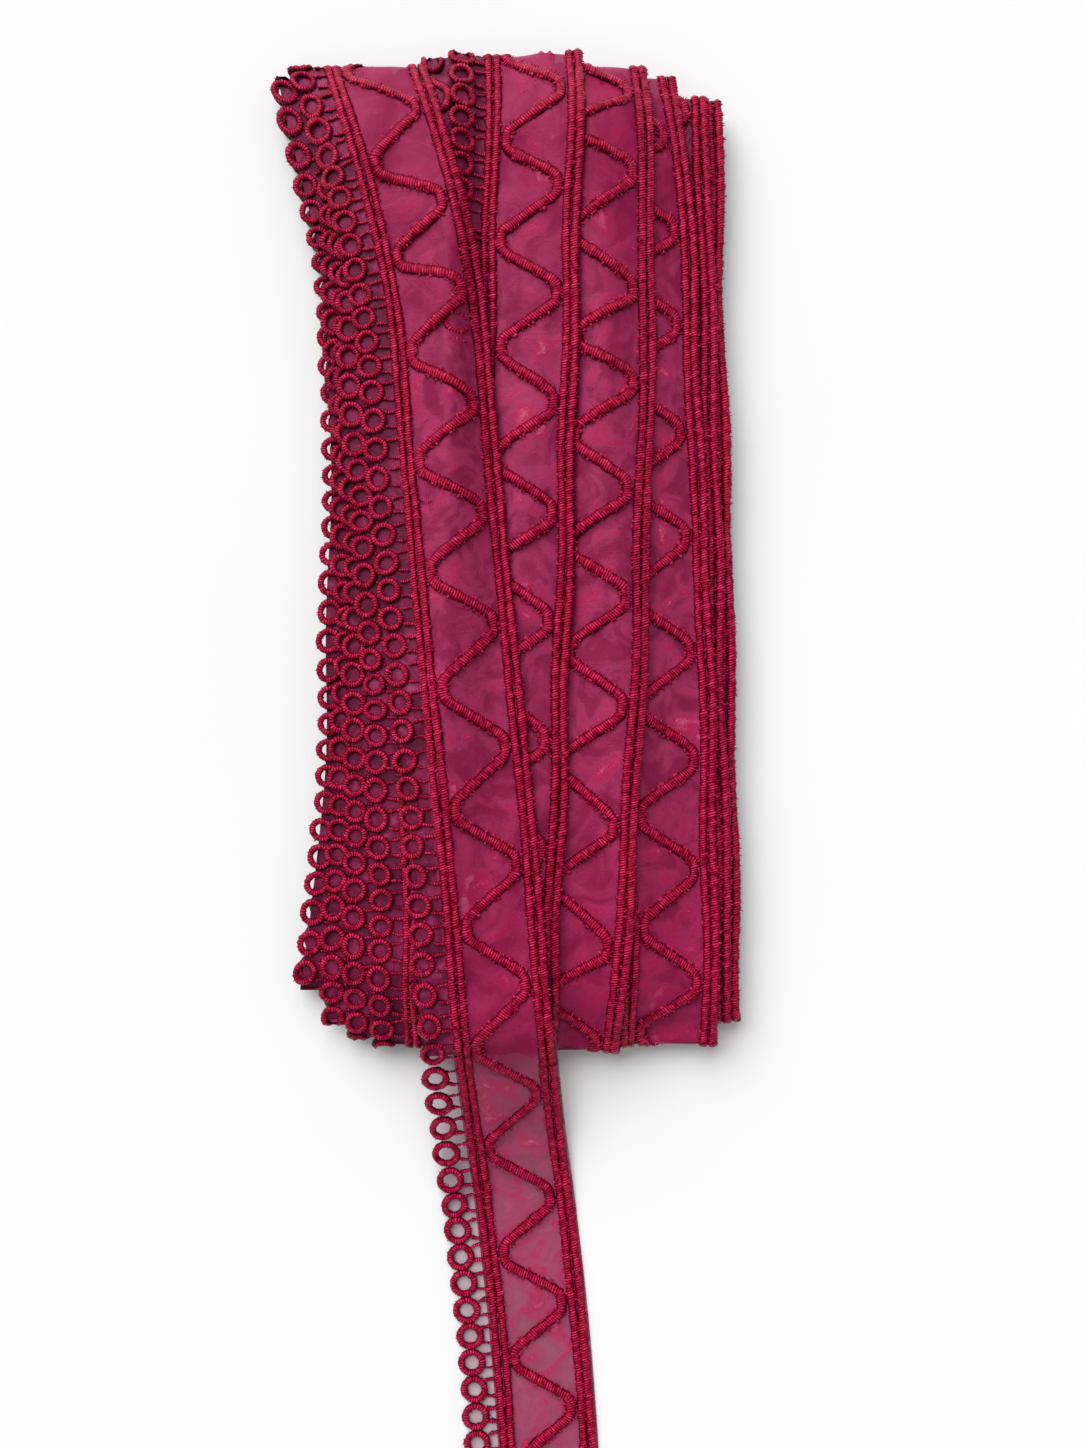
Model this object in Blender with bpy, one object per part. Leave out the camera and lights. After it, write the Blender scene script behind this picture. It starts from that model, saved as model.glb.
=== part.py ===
"""Eyelet lace trim, 38 mm wide, wound on itself in a flat fanned hank with one loose end.

Sizes are in millimetres and turned to metres when a mesh is placed. The origin is in the
middle of the hank's flat underside, +Y runs along the turns away from the loose end, and +Z
is up. Across the band, u runs from the outer edge of the rings to the plain edge.
"""

import math

import bmesh
import bpy
import numpy as np

MM = 0.001

# The embroidered band
BAND_WIDTH = 38.0
RINGS_PER_REPEAT = 4
RING_OUTER = 7.9
RING_THREAD = 2.0
RING_ROW = 3.9
CORDS = (
    # middle across the band, width
    (11.0, 2.1),
    (13.2, 2.1),
    (33.9, 2.4),
    (36.5, 2.4),
)
ZIGZAG_LEFT = 15.6
ZIGZAG_RIGHT = 31.4
ZIGZAG_WIDTH = 2.6
ZIGZAG_ROUNDING = 0.86
NET_EDGE = 7.0
THIN_NET_SHARE = 0.4

# How thick one layer lies in the hank, and how far its stitching stands above the net
NET_LAYER = 1.25
CORD_RISE = 1.1
ZIGZAG_RISE = 0.9
RING_RISE = 0.8
BACK_LAYER = 1.55
BACK_LEAST = 7.0
BACK_SAG_CELLS = 12
SAG_CELLS = 14

# The fronts of the turns, the lowest first. Each row has the name of the turn, the y of its
# two folds, the y of one right-hand corner of its zigzag, the length of one zigzag repeat,
# and the x of its middle at each of these sections. The last turn has no lower fold: it runs
# on as the loose end.
SECTIONS_Y = (-135.0, -80.0, -30.0, 20.0, 70.0, 105.0, 135.0)
TURNS = (
    ("core_left", -126.0, 120.0, 0.0, 30.0, (-24.0, -22.0, -20.0, -18.0, -20.0, -24.0, -28.0)),
    ("core_right", -127.0, 119.0, 4.0, 30.0, (22.0, 24.0, 24.0, 23.0, 22.0, 21.0, 20.0)),
    ("core_middle", -130.0, 124.0, 8.0, 30.0, (-4.0, -2.0, 0.0, 2.0, 1.0, 0.0, -2.0)),
    ("middle_low", -138.0, 130.0, 12.0, 30.0, (12.0, 13.0, 12.0, 11.0, 10.0, 10.0, 10.0)),
    ("middle_left", -137.0, 136.4, 5.0, 30.0, (-12.0, -12.5, -12.0, -11.0, -10.5, -10.0, -10.0)),
    ("right_low", -132.0, 124.5, 10.0, 30.0, (42.0, 41.0, 40.0, 39.0, 37.0, 37.0, 36.5)),
    ("left_low", -124.0, 131.4, 8.0, 31.0, (-49.0, -41.0, -39.5, -38.5, -40.0, -46.5, -53.5)),
    ("right_mid", -132.5, 125.6, 2.0, 30.0, (39.5, 38.5, 37.0, 36.0, 34.5, 33.5, 32.0)),
    ("left_mid", -133.0, 131.1, 14.0, 30.0, (-39.0, -37.5, -36.5, -37.5, -39.0, -39.5, -38.0)),
    ("right_high", -139.0, 131.2, 2.5, 30.2, (35.5, 35.0, 34.0, 31.5, 29.5, 27.5, 22.5)),
    ("left_high", -137.1, 131.9, 6.0, 30.0, (-32.0, -32.0, -33.0, -34.5, -36.5, -36.5, -35.5)),
    ("middle_right", -140.5, 133.6, 14.3, 29.6, (8.5, 12.5, 15.0, 16.5, 17.5, 17.0, 15.0)),
    ("left_top", -139.0, 132.3, 4.0, 30.0, (-24.5, -25.0, -27.0, -31.0, -34.0, -34.0, -33.0)),
    ("middle_top", -141.0, 137.1, 8.4, 29.8, (-10.0, -7.5, -6.0, -4.5, -3.5, -2.5, -2.5)),
    ("last", -127.4, 133.9, 8.1, 31.0, (-10.5, -15.0, -20.0, -25.0, -30.0, -38.0, -47.5)),
)
LAST_TURN = TURNS[-1][0]

# The folds at the two ends of the hank, and the mesh of its surface
FOLD_ROUNDING = 22.0
FOLD_EDGE = 0.6
FOLD_BLUR = (1, 2, 3, 2, 1)
CELL_X = 0.8
CELL_Y = 1.4
GRID_X = (-80.0, 70.0)
GRID_Y = (-150.0, 146.0)
COLUMNS = 150
ROWS = 200
HANK_TRIANGLES = 8400
FLAT_WITHIN = 0.03

# The loose end, from where it leaves the hank to its cut end: y, x of the middle, and its
# height as a share of the height at which it leaves
LOOSE_PATH = (
    (-128.6, -11.0, 1.00),
    (-135.0, -10.4, 0.93),
    (-141.0, -9.9, 0.80),
    (-150.0, -9.1, 0.57),
    (-160.0, -8.1, 0.34),
    (-172.0, -6.7, 0.135),
    (-184.0, -5.1, 0.03),
    (-195.0, -3.8, 0.0),
    (-220.0, -1.0, 0.0),
    (-250.0, 1.4, 0.0),
    (-274.0, 2.9, 0.0),
)
LOOSE_CORNER_Y = -183.3
LOOSE_REPEAT = 30.0
LOOSE_CLEARANCE = 0.35
LOOSE_NET = 1.0
LOOSE_STEP = 7.5
LOOSE_HEM = 0.6
PATH_POINTS = 600
CORD_INSET = 0.3
ZIGZAG_POINTS = 10
ZIGZAG_SINK = 0.2
TINY_EDGE = 0.02
MERGE = 0.0001
RING_SEGMENTS = 14
THREAD_SEGMENTS = 6

THREAD_COLOUR = (0.36, 0.006, 0.048, 1.0)
THREAD_ROUGHNESS = 0.5
ORGANZA_COLOUR = (0.42, 0.02, 0.14, 1.0)
ORGANZA_ROUGHNESS = 0.6
SMOOTH_UNDER = math.radians(35)


def smooth_line(places, values, at):
    """Read a smooth curve through (places, values) at the given places."""
    places = np.asarray(places, float)
    values = np.asarray(values, float)
    at = np.asarray(at, float)
    slopes = np.gradient(values, places)
    first = np.clip(np.searchsorted(places, at) - 1, 0, len(places) - 2)
    span = places[first + 1] - places[first]
    t = (at - places[first]) / span
    inner = np.clip(t, 0.0, 1.0)
    start = values[first] * (1 + 2 * inner) * (1 - inner) ** 2
    start_turn = slopes[first] * span * inner * (1 - inner) ** 2
    finish = values[first + 1] * inner ** 2 * (3 - 2 * inner)
    finish_turn = slopes[first + 1] * span * inner ** 2 * (inner - 1)
    beyond = np.where(t < 0, t * slopes[first], np.where(t > 1, (t - 1) * slopes[first + 1], 0.0))
    return start + start_turn + finish + finish_turn + beyond * span


def soften(field, times):
    """Even out a height field by averaging each cell with its neighbours."""
    for _ in range(times):
        padded = np.pad(field, 1, mode="edge")
        across = padded[1:-1, :-2] + padded[1:-1, 2:]
        along = padded[:-2, 1:-1] + padded[2:, 1:-1]
        field = (2.0 * field + across + along) / 6.0
    return field


def zigzag_middle(v, repeat):
    """The zigzag's place across the band, v millimetres from a right-hand corner."""
    swing = (ZIGZAG_RIGHT - ZIGZAG_LEFT) / 2
    wave = np.cos(2 * np.pi * v / repeat)
    wave = np.arcsin(ZIGZAG_ROUNDING * wave) / math.asin(ZIGZAG_ROUNDING)
    return (ZIGZAG_LEFT + ZIGZAG_RIGHT) / 2 + swing * wave


def ridge(distance, width, rise):
    """The height of a half-round ridge at a distance from its middle."""
    return rise * np.sqrt(np.clip(1 - (2 * distance / width) ** 2, 0.0, 1.0))


def layer_relief(u, v, repeat):
    """How thick one layer of the band lies at (u, v)."""
    pitch = repeat / RINGS_PER_REPEAT
    stitching = np.zeros_like(u)
    for middle, width in CORDS:
        stitching = np.maximum(stitching, ridge(np.abs(u - middle), width, CORD_RISE))
    steepness = 4 * (ZIGZAG_RIGHT - ZIGZAG_LEFT) / (2 * repeat)
    off_line = np.abs(u - zigzag_middle(v, repeat)) / math.hypot(1.0, steepness)
    stitching = np.maximum(stitching, ridge(off_line, ZIGZAG_WIDTH, ZIGZAG_RISE))
    along = np.mod(v, pitch) - pitch / 2
    from_ring = np.hypot(u - RING_ROW, along)
    ring_radius = (RING_OUTER - RING_THREAD) / 2
    ring = ridge(np.abs(from_ring - ring_radius), RING_THREAD, RING_RISE)
    net = np.where(u > NET_EDGE, NET_LAYER, THIN_NET_SHARE * NET_LAYER)
    net = np.where(from_ring < ring_radius, 0.0, net)
    return np.where(ring > 0, NET_LAYER + ring, net + stitching)


class Hank:
    """The heights of the wound turns over a grid, seen from above."""

    def __init__(self):
        self.xs = np.arange(GRID_X[0], GRID_X[1], CELL_X)
        self.ys = np.arange(GRID_Y[0], GRID_Y[1], CELL_Y)
        self.x, self.y = np.meshgrid(self.xs, self.ys)
        self.middle = self.back_heights()
        self.top = self.front_heights()
        self.low_end, self.high_end = self.fold_lines()

    def place_on(self, middles):
        """The band's own coordinates at every cell, for a turn with these middles."""
        middle = smooth_line(SECTIONS_Y, middles, self.ys)
        lean = np.arctan(np.gradient(middle, self.ys))
        length = np.cumsum(CELL_Y / np.cos(lean))
        off = self.x - middle[:, None]
        u = off * np.cos(lean)[:, None] + BAND_WIDTH / 2
        v = length[:, None] + off * np.sin(lean)[:, None]
        return u, v

    def covered(self, u, low, high):
        inside = (u > 0) & (u < BAND_WIDTH)
        return inside & (self.y > low) & (self.y < high)

    def back_heights(self):
        """The backs of the turns lie flat on each other, as far across as the fronts do."""
        depth = np.zeros_like(self.x)
        for _, _, _, _, _, middles in TURNS:
            u, _ = self.place_on(middles)
            depth += BACK_LAYER * self.covered(u, GRID_Y[0], GRID_Y[1])
        return soften(np.maximum(depth, BACK_LEAST), BACK_SAG_CELLS)

    def front_heights(self):
        """Lay the fronts on the backs one by one, each sagging into what lies below it."""
        top = self.middle.copy()
        for _, low, high, corner, repeat, middles in TURNS:
            u, v = self.place_on(middles)
            inside = self.covered(u, low, high)
            corner_row = int(np.argmin(np.abs(self.ys - corner)))
            corner_v = v[corner_row, int(np.argmin(np.abs(u[corner_row] - BAND_WIDTH / 2)))]
            laid = soften(top, SAG_CELLS) + layer_relief(u, v - corner_v, repeat)
            top = np.where(inside, laid, top)
        return top

    def fold_lines(self):
        """For each x, the y of the furthest fold at each end of the hank."""
        low_end = np.full(len(self.xs), 0.0)
        high_end = np.full(len(self.xs), 0.0)
        for name, low, high, _, _, middles in TURNS:
            reach = BAND_WIDTH / 2
            at_low = np.abs(self.xs - smooth_line(SECTIONS_Y, middles, low)) < reach
            at_high = np.abs(self.xs - smooth_line(SECTIONS_Y, middles, high)) < reach
            if name != LAST_TURN:
                low_end = np.where(at_low, np.minimum(low_end, low), low_end)
            high_end = np.where(at_high, np.maximum(high_end, high), high_end)
        first_low, last_low = np.flatnonzero(low_end)[[0, -1]]
        first_high, last_high = np.flatnonzero(high_end)[[0, -1]]
        low_end[:first_low] = low_end[first_low]
        low_end[last_low:] = low_end[last_low]
        high_end[:first_high] = high_end[first_high]
        high_end[last_high:] = high_end[last_high]
        blur = np.array(FOLD_BLUR) / sum(FOLD_BLUR)
        low_end = np.convolve(np.pad(low_end, 2, mode="edge"), blur, mode="valid")
        high_end = np.convolve(np.pad(high_end, 2, mode="edge"), blur, mode="valid")
        return low_end, high_end

    def side_lines(self, y):
        """The x of the left-hand and right-hand outlines at y, with the rings' scallops."""
        left = np.full_like(y, np.inf)
        right = np.full_like(y, -np.inf)
        for _, low, high, corner, repeat, middles in TURNS:
            middle = smooth_line(SECTIONS_Y, middles, y)
            pitch = repeat / RINGS_PER_REPEAT
            along = np.mod(y - corner, pitch) - pitch / 2
            radius = RING_OUTER / 2
            scallop = radius - np.sqrt(np.clip(radius ** 2 - along ** 2, 0.0, None))
            left = np.minimum(left, middle - BAND_WIDTH / 2 + scallop)
            right = np.maximum(right, middle + BAND_WIDTH / 2)
        return left, right

    def sample(self, field, x, y):
        """Read a height field between its cells."""
        col = np.clip((x - self.xs[0]) / CELL_X, 0, len(self.xs) - 1.001)
        row = np.clip((y - self.ys[0]) / CELL_Y, 0, len(self.ys) - 1.001)
        c = col.astype(int)
        r = row.astype(int)
        fc = col - c
        fr = row - r
        near = field[r, c] * (1 - fc) + field[r, c + 1] * fc
        far = field[r + 1, c] * (1 - fc) + field[r + 1, c + 1] * fc
        return near * (1 - fr) + far * fr

    def surfaces(self, x, y):
        """The heights of the hank's upper and lower surfaces, rounded over at the folds."""
        low = np.interp(x, self.xs, self.low_end)
        high = np.interp(x, self.xs, self.high_end)
        from_fold = np.clip(np.minimum(y - low, high - y) / FOLD_ROUNDING, 0.0, 1.0)
        fullness = np.sqrt(1 - (1 - from_fold) ** 2)
        middle = self.sample(self.middle, x, y)
        top = self.sample(self.top, x, y)
        upper = middle + (top - middle) * fullness + FOLD_EDGE * (1 - fullness)
        lower = np.maximum((middle - FOLD_EDGE) * (1 - fullness), 0.0)
        return upper, lower


def add_material(name, colour, roughness):
    material = bpy.data.materials.new(name)
    material.use_nodes = True
    shader = material.node_tree.nodes["Principled BSDF"]
    shader.inputs["Base Color"].default_value = colour
    shader.inputs["Roughness"].default_value = roughness
    shader.inputs["Metallic"].default_value = 0.0
    material.diffuse_color = colour
    return material


def place_object(name, mesh, material, collection):
    mesh.materials.clear()
    mesh.materials.append(material)
    thing = bpy.data.objects.new(name, mesh)
    collection.objects.link(thing)
    mesh.shade_smooth()
    mesh.set_sharp_from_angle(angle=SMOOTH_UNDER)
    return thing


def make_hank(hank, material, collection):
    """A closed slab of fine cells, moved to the hank's two surfaces and thinned out."""
    shape = bmesh.new()
    bmesh.ops.create_grid(shape, x_segments=COLUMNS, y_segments=ROWS, size=0.5)
    lower_faces = list(shape.faces)
    raised = bmesh.ops.extrude_face_region(shape, geom=lower_faces)
    for part in raised["geom"]:
        if isinstance(part, bmesh.types.BMVert):
            part.co.z = 1.0
    bmesh.ops.recalc_face_normals(shape, faces=shape.faces)
    mesh = bpy.data.meshes.new("hank")
    shape.to_mesh(mesh)
    shape.free()

    points = np.empty(len(mesh.vertices) * 3)
    mesh.vertices.foreach_get("co", points)
    points = points.reshape(-1, 3)
    across = points[:, 0] + 0.5
    along = points[:, 1] + 0.5
    y = SECTIONS_Y[0] + along * (SECTIONS_Y[-1] - SECTIONS_Y[0])
    for _ in range(2):
        left, right = hank.side_lines(y)
        x = left + across * (right - left)
        low = np.interp(x, hank.xs, hank.low_end)
        high = np.interp(x, hank.xs, hank.high_end)
        y = low + along * (high - low)
    upper, lower = hank.surfaces(x, y)
    z = np.where(points[:, 2] > 0.5, upper, lower)
    mesh.vertices.foreach_set("co", (np.column_stack((x, y, z)) * MM).ravel())
    mesh.update()

    thing = place_object("hank", mesh, material, collection)
    thin = thing.modifiers.new("thin", "DECIMATE")
    thin.decimate_type = "COLLAPSE"
    triangles = 2 * (2 * COLUMNS * ROWS + 2 * (COLUMNS + ROWS))
    thin.ratio = HANK_TRIANGLES / triangles
    bpy.context.view_layer.update()
    found = thing.evaluated_get(bpy.context.evaluated_depsgraph_get())
    thinned = bpy.data.meshes.new_from_object(found)
    thing.modifiers.clear()
    thing.data = thinned
    bpy.data.meshes.remove(mesh)
    for vertex in thinned.vertices:
        if vertex.co.z < FLAT_WITHIN * MM:
            vertex.co.z = 0.0
    return thing


def loose_path(hank):
    """The middle line under the loose end, as points a short way apart."""
    rows = sorted(LOOSE_PATH)
    ys = np.array([row[0] for row in rows])
    xs = np.array([row[1] for row in rows])
    shares = np.array([row[2] for row in rows])
    y = np.linspace(ys[0], ys[-1], PATH_POINTS)
    x = smooth_line(ys, xs, y)
    share = np.clip(smooth_line(ys, shares, y), 0.0, None)
    on_hank = y > hank.low_end.min()
    height = 0.0
    for u in np.arange(0.0, BAND_WIDTH, CELL_X):
        upper, _ = hank.surfaces(x[on_hank] + u - BAND_WIDTH / 2, y[on_hank])
        needed = (upper + LOOSE_CLEARANCE) / share[on_hank]
        height = max(height, float(needed.max()))
    return np.column_stack((x, y, share * height))


def tube(name, points, radius):
    """A stitched cord as a curve with a round section, made a mesh."""
    curve = bpy.data.curves.new(name, "CURVE")
    curve.dimensions = "3D"
    curve.bevel_depth = radius
    curve.bevel_resolution = 1
    curve.use_fill_caps = True
    spline = curve.splines.new("POLY")
    spline.points.add(len(points) - 1)
    for knot, point in zip(spline.points, points):
        knot.co = (*point, 1.0)
    guide = bpy.data.objects.new(name, curve)
    bpy.context.scene.collection.objects.link(guide)
    bpy.context.view_layer.update()
    found = guide.evaluated_get(bpy.context.evaluated_depsgraph_get())
    mesh = bpy.data.meshes.new_from_object(found)
    bpy.data.objects.remove(guide)
    bpy.data.curves.remove(curve)
    return mesh


def ring(row, along, height):
    """One eyelet ring, with its hole right through."""
    bpy.ops.mesh.primitive_torus_add(
        location=(row, along, height),
        major_radius=(RING_OUTER - RING_THREAD) / 2,
        minor_radius=RING_THREAD / 2,
        major_segments=RING_SEGMENTS,
        minor_segments=THREAD_SEGMENTS,
    )
    made = bpy.context.object
    mesh = made.data
    mesh.transform(made.matrix_world)
    bpy.data.objects.remove(made)
    return mesh


def flat_stitching(length, corner_v, repeat):
    """The cords, zigzag and rings of a flat band of this length, as overlapping meshes."""
    pieces = []
    stops = np.linspace(CORD_INSET, length - CORD_INSET, round(length / LOOSE_STEP))
    for middle, width in CORDS:
        points = [(middle, v, LOOSE_NET) for v in stops]
        pieces.append(tube("cord", points, width / 2))
    bends = np.linspace(CORD_INSET, length - CORD_INSET, round(ZIGZAG_POINTS * length / repeat))
    zigzag = zigzag_middle(bends - corner_v, repeat)
    points = [(u, v, LOOSE_NET - ZIGZAG_SINK) for u, v in zip(zigzag, bends)]
    pieces.append(tube("zigzag", points, ZIGZAG_WIDTH / 2))
    pitch = repeat / RINGS_PER_REPEAT
    first = (corner_v + pitch / 2) % pitch
    rings = int((length - first - RING_OUTER / 2) / pitch) + 1
    lowest = RING_THREAD / 2 * math.cos(math.pi / THREAD_SEGMENTS)
    for number in range(rings):
        along = first + number * pitch
        if along > RING_OUTER / 2:
            pieces.append(ring(RING_ROW, along, lowest))
    return pieces


def make_loose_end(hank, material, collection, cutters):
    """The loose end, built flat and then laid along its path."""
    path = loose_path(hank)
    steps = np.linalg.norm(np.diff(path, axis=0), axis=1)
    lengths = np.concatenate(([0.0], np.cumsum(steps)))
    length = lengths[-1]
    corner_v = float(np.interp(LOOSE_CORNER_Y, path[:, 1], lengths))

    band = bmesh.new()
    rows = round(length / LOOSE_STEP)
    bmesh.ops.create_grid(band, x_segments=2, y_segments=rows, size=0.5)
    raised = bmesh.ops.extrude_face_region(band, geom=list(band.faces))
    for part in raised["geom"]:
        if isinstance(part, bmesh.types.BMVert):
            part.co.z = 1.0
    bmesh.ops.recalc_face_normals(band, faces=band.faces)
    for vertex in band.verts:
        vertex.co.x = NET_EDGE + (vertex.co.x + 0.5) * (BAND_WIDTH - LOOSE_HEM - NET_EDGE)
        vertex.co.y = (vertex.co.y + 0.5) * length
        vertex.co.z = vertex.co.z * LOOSE_NET
    net = bpy.data.meshes.new("loose_end")
    band.to_mesh(net)
    band.free()
    thing = place_object("loose_end", net, material, collection)

    joined = bmesh.new()
    for mesh in flat_stitching(length, corner_v, LOOSE_REPEAT):
        joined.from_mesh(mesh)
        bpy.data.meshes.remove(mesh)
    bmesh.ops.remove_doubles(joined, verts=joined.verts, dist=MERGE)
    for vertex in joined.verts:
        vertex.co.z = max(vertex.co.z, 0.0)
    stitching = bpy.data.meshes.new("stitching")
    joined.to_mesh(stitching)
    joined.free()
    cutter = bpy.data.objects.new("stitching", stitching)
    cutter.hide_render = True
    cutter.display_type = "WIRE"
    cutters.objects.link(cutter)

    union = thing.modifiers.new("union", "BOOLEAN")
    union.operation = "UNION"
    union.solver = "EXACT"
    union.use_self = True
    union.object = cutter
    bpy.context.view_layer.update()
    found = thing.evaluated_get(bpy.context.evaluated_depsgraph_get())
    flat = bpy.data.meshes.new_from_object(found)
    thing.modifiers.clear()

    body = bmesh.new()
    body.from_mesh(flat)
    bmesh.ops.dissolve_degenerate(body, edges=body.edges, dist=TINY_EDGE)
    bmesh.ops.triangulate(body, faces=body.faces)
    ahead = np.gradient(path, lengths, axis=0)
    for vertex in body.verts:
        u, v, rise = vertex.co
        at = [float(np.interp(v, lengths, path[:, axis])) for axis in range(3)]
        way = [float(np.interp(v, lengths, ahead[:, axis])) for axis in range(3)]
        level = math.hypot(way[0], way[1])
        aside = (way[1] / level, -way[0] / level)
        up = (-way[0] / level * way[2], -way[1] / level * way[2], level)
        off = u - BAND_WIDTH / 2
        vertex.co.x = (at[0] + aside[0] * off + up[0] * rise) * MM
        vertex.co.y = (at[1] + aside[1] * off + up[1] * rise) * MM
        vertex.co.z = (at[2] + up[2] * rise) * MM
    laid = bpy.data.meshes.new("loose_end")
    body.to_mesh(laid)
    body.free()
    laid.materials.append(material)
    laid.shade_smooth()
    laid.set_sharp_from_angle(angle=SMOOTH_UNDER)
    thing.data = laid
    bpy.data.meshes.remove(flat)
    return thing


def main():
    for thing in list(bpy.data.objects):
        bpy.data.objects.remove(thing, do_unlink=True)
    collection = bpy.data.collections.new("eyelet_lace_trim")
    cutters = bpy.data.collections.new("joined_stitching")
    bpy.context.scene.collection.children.link(collection)
    bpy.context.scene.collection.children.link(cutters)
    satin = add_material("satin_thread", THREAD_COLOUR, THREAD_ROUGHNESS)
    organza = add_material("organza", ORGANZA_COLOUR, ORGANZA_ROUGHNESS)
    hank = Hank()
    make_hank(hank, organza, collection)
    make_loose_end(hank, satin, collection, cutters)


main()
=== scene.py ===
from collections import namedtuple
import math

import bpy
import numpy as np
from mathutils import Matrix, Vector


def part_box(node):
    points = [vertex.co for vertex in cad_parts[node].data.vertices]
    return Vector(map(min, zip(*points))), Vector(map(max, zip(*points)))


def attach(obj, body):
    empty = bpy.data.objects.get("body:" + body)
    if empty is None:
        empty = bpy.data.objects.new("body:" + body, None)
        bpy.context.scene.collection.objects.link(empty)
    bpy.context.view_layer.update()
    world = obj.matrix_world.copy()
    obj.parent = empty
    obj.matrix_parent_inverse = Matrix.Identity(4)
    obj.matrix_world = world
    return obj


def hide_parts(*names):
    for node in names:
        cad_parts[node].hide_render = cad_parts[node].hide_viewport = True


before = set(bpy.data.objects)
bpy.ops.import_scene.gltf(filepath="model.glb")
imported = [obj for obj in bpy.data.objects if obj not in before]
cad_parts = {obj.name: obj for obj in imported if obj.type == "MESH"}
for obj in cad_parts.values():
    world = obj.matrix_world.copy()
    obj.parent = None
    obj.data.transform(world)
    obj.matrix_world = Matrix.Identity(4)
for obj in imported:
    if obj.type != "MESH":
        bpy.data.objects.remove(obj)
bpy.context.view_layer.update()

# Sizes are in millimetres until a mesh is made. Across the band, u runs from the outer edge of
# the rings to the plain edge, v runs along it, and w stands off the net on its right side.
MM = 0.001
rng = np.random.default_rng(38)

BAND_WIDTH = 38.0
RINGS_PER_REPEAT = 4
RING_ROW = 4.0
# The outside diameter of the rings, and how thick their thread is. Those of the loose end lie
# flat and open, and those of the hank are drawn in a little
LOOSE_RINGS = (7.95, 2.0)
WOUND_RINGS = (7.15, 1.8)
RING_STITCHES = 22
CORD_RISE = 1.55
# Satin stitches really lie about 0.35 mm apart. They are drawn twice as coarse, to show
STITCH = 0.7
CORDS = (
    # middle across the band, width, unevenness, how far its stitches lean
    (11.3, 2.2, 0.1, 0.3),
    (13.6, 2.2, 0.1, 0.25),
    (33.9, 2.35, 0.1, 0.3),
    (36.35, 2.5, 0.12, 0.4),
)
ZIGZAG_LEFT = 16.2
ZIGZAG_RIGHT = 31.0
ZIGZAG_WIDTH = 2.95
ZIGZAG_RISE = 1.5
ZIGZAG_CORNER_RUN = 5.2
# The zigzag is worked out in short steps, and its corners are rounded over this many of them
ZIGZAG_STEP = 0.1
ZIGZAG_BLUR = 51
# How far the zigzag and the cords wander from their lines, and over what length
ZIGZAG_WANDER = (0.15, 5.3)
CORD_WANDER = (0.12, 9.0)
# The bars: from where to where across the band, how far from the middle of a ring, and how wide
BAR_REACH = (RING_ROW + 3.2, 10.8)
BAR_SPREAD = 2.0
BAR_WIDTH = 0.95
BAR_POINTS = 9
# Thread ends: how far inside a line of stitches they start, and for the cords and the zigzag
# how far apart they are and how long the longest is. A ring has some inward and more outward
FRAY_ROOT = 0.35
CORD_FRAYS = (1.9, 0.75)
ZIGZAG_FRAYS = (1.1, 1.1)
RING_FRAYS_INWARD = 7
RING_FRAYS = 18
FRAY_THICK = (0.45, 0.75)
FRAY_TALL = (0.0, 0.5)
# The net: the strip beside the rings, and the panel from the first cord to the plain edge,
# which reaches further on the loose end. Its creases die away within CREASE_EDGE of an edge,
# and the middle of each cord and ring stands THREAD_LIFT above it
RING_NET = (RING_ROW - 0.9, 10.8)
PANEL_NET_FROM = 9.6
WOUND_EDGE = 37.4
LOOSE_EDGE = 38.1
CREASE = 0.24
CREASE_EDGE = 4.0
CREASE_WAVES = 14
CREASE_LENGTHS = (5.0, 24.0)
HOLE_POINTS = 9
THREAD_LIFT = 0.35
# How thick a cut end of a cord is, as a share of the cord
CUT_END = 0.3

# How thick one turn lies in the hank, and how high in it its net is. The rings and cords add
# STITCH_RISE, of which the rings take a share, and over a little more than the cords' width.
# A turn is pressed down to lie UNDER_A_COVER below the net that lies on it
NET_LAYER = 1.25
NET_AT = 1.0
STITCH_RISE = 0.95
RING_SHARE = 0.7
CORD_SPREAD = 1.2
UNDER_A_COVER = 0.45
# The backs of the turns, below the fronts, and how far they may be squeezed or lofted
BACK_LAYER = 1.55
BACK_LEAST = 7.0
BACK_NET_AT = 1.15
BACK_LOFT = (0.3, 2.2)
# Over how many cells of the grid a turn sags, and the middle of the hank is evened out
SAG_CELLS = 14
MIDDLE_CELLS = 12
# The folds. A fold lies straight across the hank, and over FOLD_SQUARE, from FOLD_STRAIGHT
# on, the stitching turns square to the band
FOLD_ROUNDING = 22.0
FOLD_STRAIGHT = 4.0
FOLD_SQUARE = 24.0
# From and to which angle each part of a fold is laid, in degrees, and at how many stations
ROUND_FOLD = (90.0, 0.0, 15)
UNDER_FOLD = (55.0, 85.0, 4)
UNDER_FOLD_AT = 0.6
# How far apart the stations of a laid turn and of the loose end are, and how far past its
# upper fold a front's needlework runs
STATION = 2.0
LOOSE_STATION = 1.0
FRONT_PAST_FOLD = 8.0
FLOOR_GAP = 0.03
# The grid on which the turns are laid
CELL_X = 0.8
CELL_Y = 1.4
GRID_X = (-80.0, 70.0)
GRID_Y = (-150.0, 146.0)

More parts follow.
